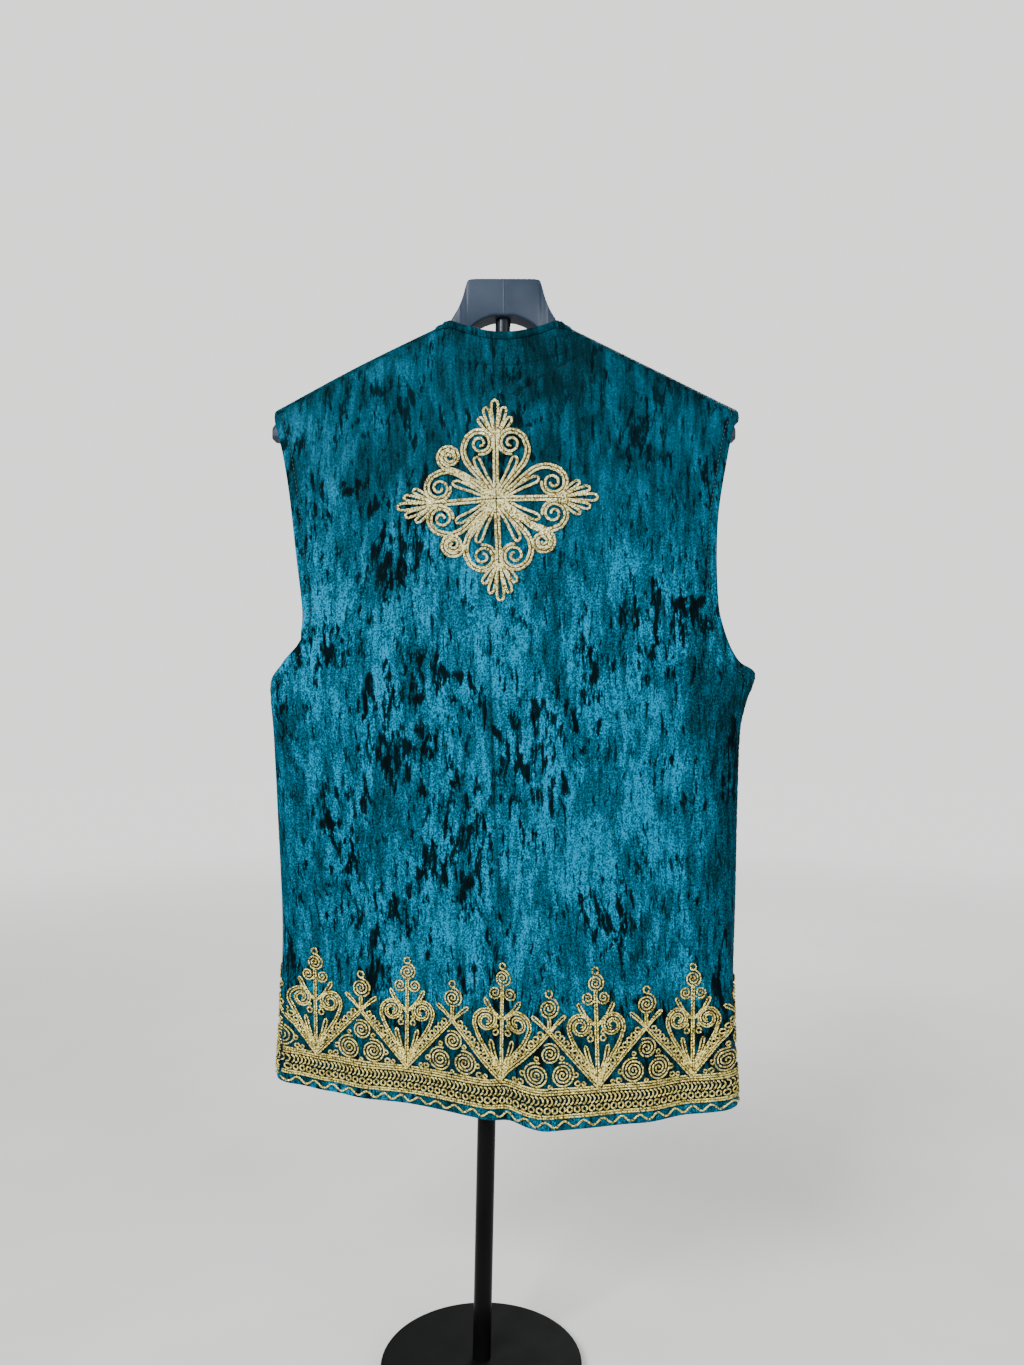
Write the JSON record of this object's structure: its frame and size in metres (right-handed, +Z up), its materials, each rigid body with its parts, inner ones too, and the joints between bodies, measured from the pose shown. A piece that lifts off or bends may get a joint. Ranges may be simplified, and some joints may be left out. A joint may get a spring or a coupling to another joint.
{
  "type": "embroidered folk vest on a hanger stand",
  "caption": "Sleeveless velvet folk vest with couched gold braid, hung open-fronted on a telescoping hanger stand with a round base.",
  "frame": {"origin": "centre of the stand base's underside, on the floor", "axes": "+Z up; -Y is the way the vest's embroidered back faces; +Y the way its open front faces; +X to the right of someone looking at the back"},
  "size_m": [0.5066, 0.21, 1.1376],
  "materials": {
    "velvet": "crushed teal velvet with a pressed, streaky pile",
    "gold_braid": "twisted metallic gold cord, couched",
    "pale_gold_braid": "pale gold plaited cord, couched",
    "hanger_plastic": "slate blue moulded plastic, satin",
    "black_steel": "gloss black enamel on steel tube",
    "black_powder": "matte black powder coat"
  },
  "bodies": {
    "stand": {"base": "black_powder", "lower_tube": "black_steel", "clamp_collar": "black_powder"},
    "carried": {"upper_tube": "black_steel", "hanger": "hanger_plastic", "back_panel": "velvet", "front_left": "velvet", "front_right": "velvet", "neckband_back": "velvet", "neckband_left": "velvet", "neckband_right": "velvet", "hem_border_back": "gold_braid", "hem_border_left": "gold_braid", "hem_border_right": "gold_braid", "wave_braid_back": "gold_braid", "wave_braid_left": "gold_braid", "wave_braid_right": "gold_braid", "armhole_cord_left": "gold_braid", "armhole_cord_right": "gold_braid", "medallion": "pale_gold_braid"}
  },
  "joints": [
    {"name": "pole_slide", "type": "slide", "parent": "stand", "child": "carried", "axis": [0.0208, 0, 0.9998], "range_m": [-0.2, 0.2]}
  ]
}
